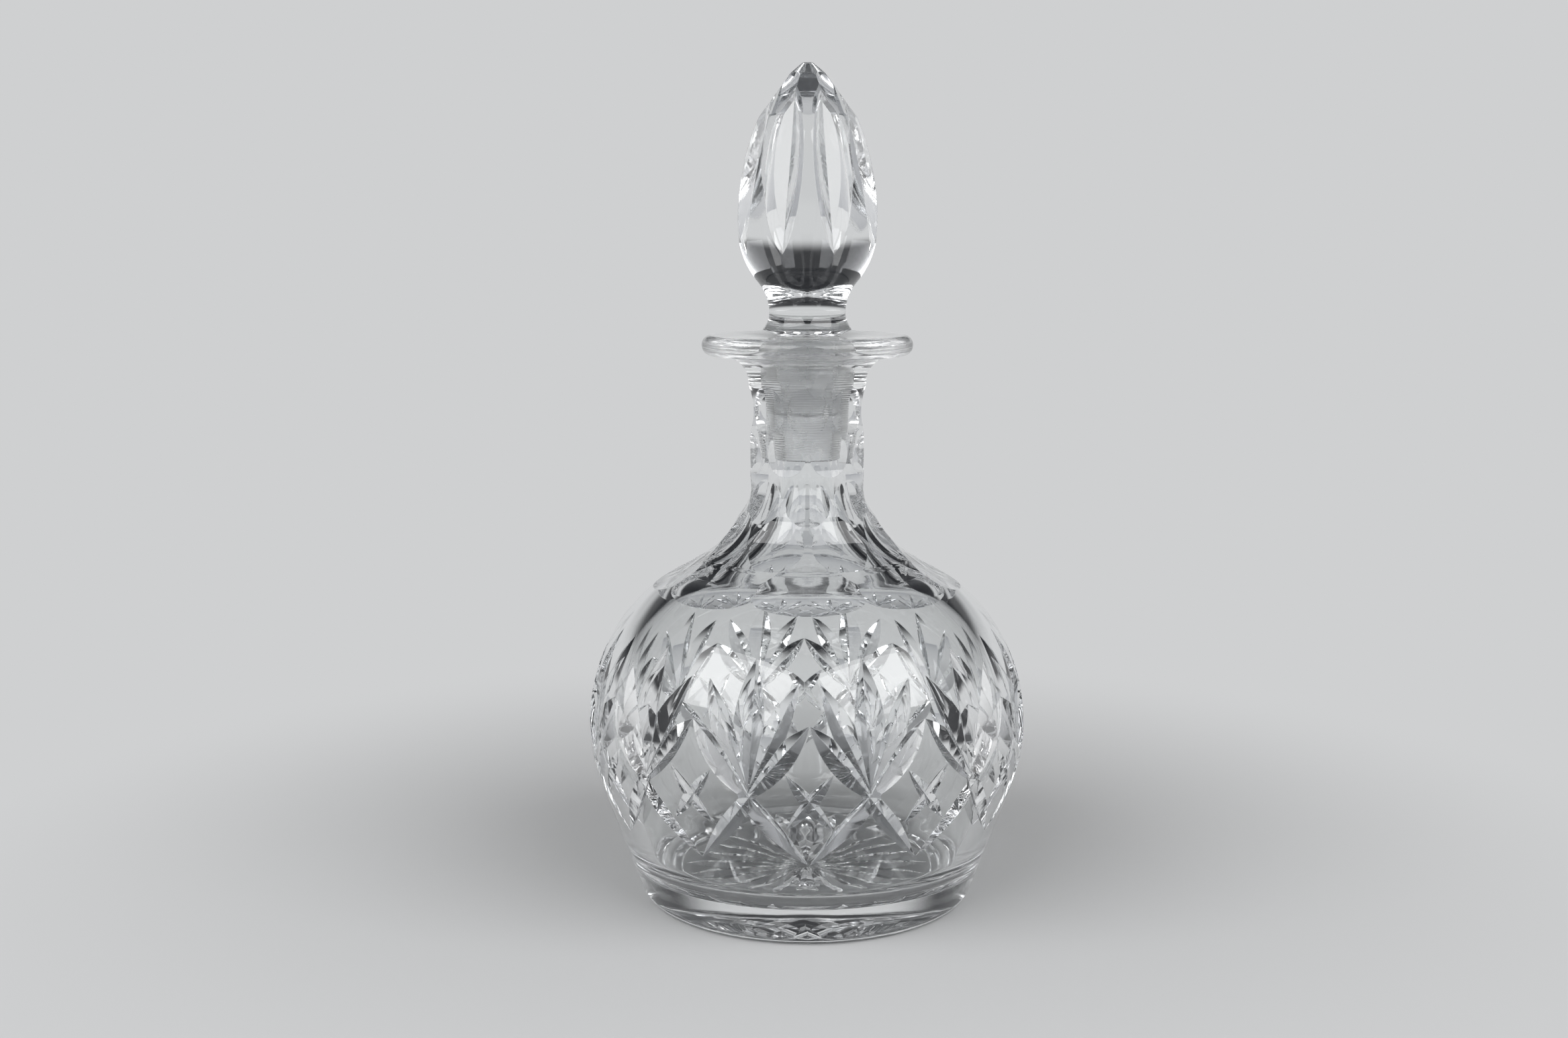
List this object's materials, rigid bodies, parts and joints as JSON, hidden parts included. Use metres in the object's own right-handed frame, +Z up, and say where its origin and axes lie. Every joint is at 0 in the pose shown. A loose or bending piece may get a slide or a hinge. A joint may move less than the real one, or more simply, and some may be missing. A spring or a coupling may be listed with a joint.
{
  "type": "globe decanter",
  "caption": "Round-bodied cut crystal decanter with a scalloped neck, a turned-out lip and a lift-out pointed stopper.",
  "frame": {"origin": "middle of the foot ring, on the surface that the decanter stands on", "axes": "+Z up along the decanter's axis, -Y towards the front of the picture"},
  "size_m": [0.1432, 0.1432, 0.27],
  "materials": {
    "crystal": "polished lead crystal, ground and frosted only where the peg sits in the neck"
  },
  "bodies": {
    "decanter": {"decanter_body": "crystal"},
    "stopper": {"stopper": "crystal"}
  },
  "joints": [
    {"name": "stopper_lift", "type": "slide", "parent": "decanter", "child": "stopper", "axis": [0, 0, 1], "range_m": [0, 0.06]}
  ]
}
